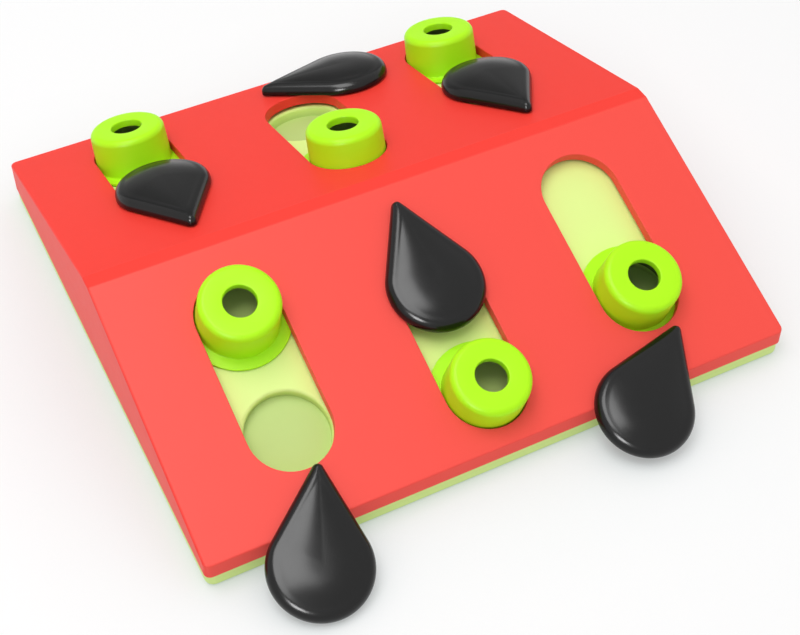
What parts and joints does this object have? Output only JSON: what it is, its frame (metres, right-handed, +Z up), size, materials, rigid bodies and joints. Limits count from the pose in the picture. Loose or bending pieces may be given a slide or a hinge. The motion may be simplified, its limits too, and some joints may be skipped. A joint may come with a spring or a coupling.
{
  "type": "pet puzzle feeder",
  "caption": "Low roof-shaped puzzle feeder for a pet: hollow pegs slide in slots and drop-shaped seeds swivel over treat bowls.",
  "frame": {"origin": "on the floor under the feet, in the middle of the whole footprint at rest, seeds included", "axes": "+X to the right along the ridge, +Y to the back across the ridge, +Z up"},
  "size_m": [0.27, 0.2859, 0.0658],
  "materials": {
    "cover_red": "satin moulded",
    "base_green": "satin moulded",
    "deck_green": "satin moulded",
    "peg_lime": "soft gloss moulded",
    "seed_black": "soft gloss moulded",
    "steel": "zinc plated",
    "rubber": "matt"
  },
  "bodies": {
    "case": {"top_cover": "cover_red", "base_tray": "base_green", "track_deck": "deck_green", "case_screws": "steel", "deck_screws": "steel", "foot_front_left": "rubber", "foot_front_right": "rubber", "foot_back_left": "rubber", "foot_back_right": "rubber"},
    "peg_front_left": {"peg_front_left": "peg_lime"},
    "seed_front_left": {"seed_front_left": "seed_black", "seed_washer_front_left": "steel", "seed_screw_front_left": "steel"},
    "peg_front_middle": {"peg_front_middle": "peg_lime"},
    "seed_front_middle": {"seed_front_middle": "seed_black", "seed_washer_front_middle": "steel", "seed_screw_front_middle": "steel"},
    "peg_front_right": {"peg_front_right": "peg_lime"},
    "seed_front_right": {"seed_front_right": "seed_black", "seed_washer_front_right": "steel", "seed_screw_front_right": "steel"},
    "peg_back_left": {"peg_back_left": "peg_lime"},
    "seed_back_left": {"seed_back_left": "seed_black", "seed_washer_back_left": "steel", "seed_screw_back_left": "steel"},
    "peg_back_middle": {"peg_back_middle": "peg_lime"},
    "seed_back_middle": {"seed_back_middle": "seed_black", "seed_washer_back_middle": "steel", "seed_screw_back_middle": "steel"},
    "peg_back_right": {"peg_back_right": "peg_lime"},
    "seed_back_right": {"seed_back_right": "seed_black", "seed_washer_back_right": "steel", "seed_screw_back_right": "steel"}
  },
  "joints": [
    {"name": "peg_front_left_slide", "type": "slide", "parent": "case", "child": "peg_front_left", "axis": [0, -0.9375, -0.348], "range_m": [0, 0.053]},
    {"name": "seed_front_left_swivel", "type": "hinge", "parent": "case", "child": "seed_front_left", "pos_m": [-0.082, -0.09442, 0.01868], "axis": [0, -0.348, 0.9375], "range_deg": [-157.8, 107]},
    {"name": "peg_front_middle_slide", "type": "slide", "parent": "case", "child": "peg_front_middle", "axis": [0, 0.9375, 0.348], "range_m": [0, 0.053]},
    {"name": "seed_front_middle_swivel", "type": "hinge", "parent": "case", "child": "seed_front_middle", "pos_m": [0, -0.00639, 0.05135], "axis": [0, -0.348, 0.9375], "range_deg": [-100, 0]},
    {"name": "peg_front_right_slide", "type": "slide", "parent": "case", "child": "peg_front_right", "axis": [0, -0.9375, -0.348], "range_m": [-0.0507, 0.0023]},
    {"name": "seed_front_right_swivel", "type": "hinge", "parent": "case", "child": "seed_front_right", "pos_m": [0.082, -0.09442, 0.01868], "axis": [0, -0.348, 0.9375], "range_deg": [-40, 134]},
    {"name": "peg_back_left_slide", "type": "slide", "parent": "case", "child": "peg_back_left", "axis": [0, -0.9581, 0.2863], "range_m": [0, 0.053]},
    {"name": "seed_back_left_swivel", "type": "hinge", "parent": "case", "child": "seed_back_left", "pos_m": [-0.082, 0.03729, 0.05255], "axis": [0, 0.2863, 0.9581], "range_deg": [0, 100]},
    {"name": "peg_back_middle_slide", "type": "slide", "parent": "case", "child": "peg_back_middle", "axis": [0, 0.9581, -0.2863], "range_m": [0, 0.048]},
    {"name": "seed_back_middle_swivel", "type": "hinge", "parent": "case", "child": "seed_back_middle", "pos_m": [0, 0.12726, 0.02566], "axis": [0, 0.2863, 0.9581], "range_deg": [-78.4, 190]},
    {"name": "peg_back_right_slide", "type": "slide", "parent": "case", "child": "peg_back_right", "axis": [0, -0.9581, 0.2863], "range_m": [0, 0.053]},
    {"name": "seed_back_right_swivel", "type": "hinge", "parent": "case", "child": "seed_back_right", "pos_m": [0.082, 0.03729, 0.05255], "axis": [0, 0.2863, 0.9581], "range_deg": [0, 100]}
  ],
  "couplings": [
    {"joint": "seed_front_middle_swivel", "follows": "peg_front_middle_slide", "rad_per_m": -32.9},
    {"joint": "seed_back_left_swivel", "follows": "peg_back_left_slide", "rad_per_m": 32.9},
    {"joint": "seed_back_right_swivel", "follows": "peg_back_right_slide", "rad_per_m": 32.9}
  ]
}
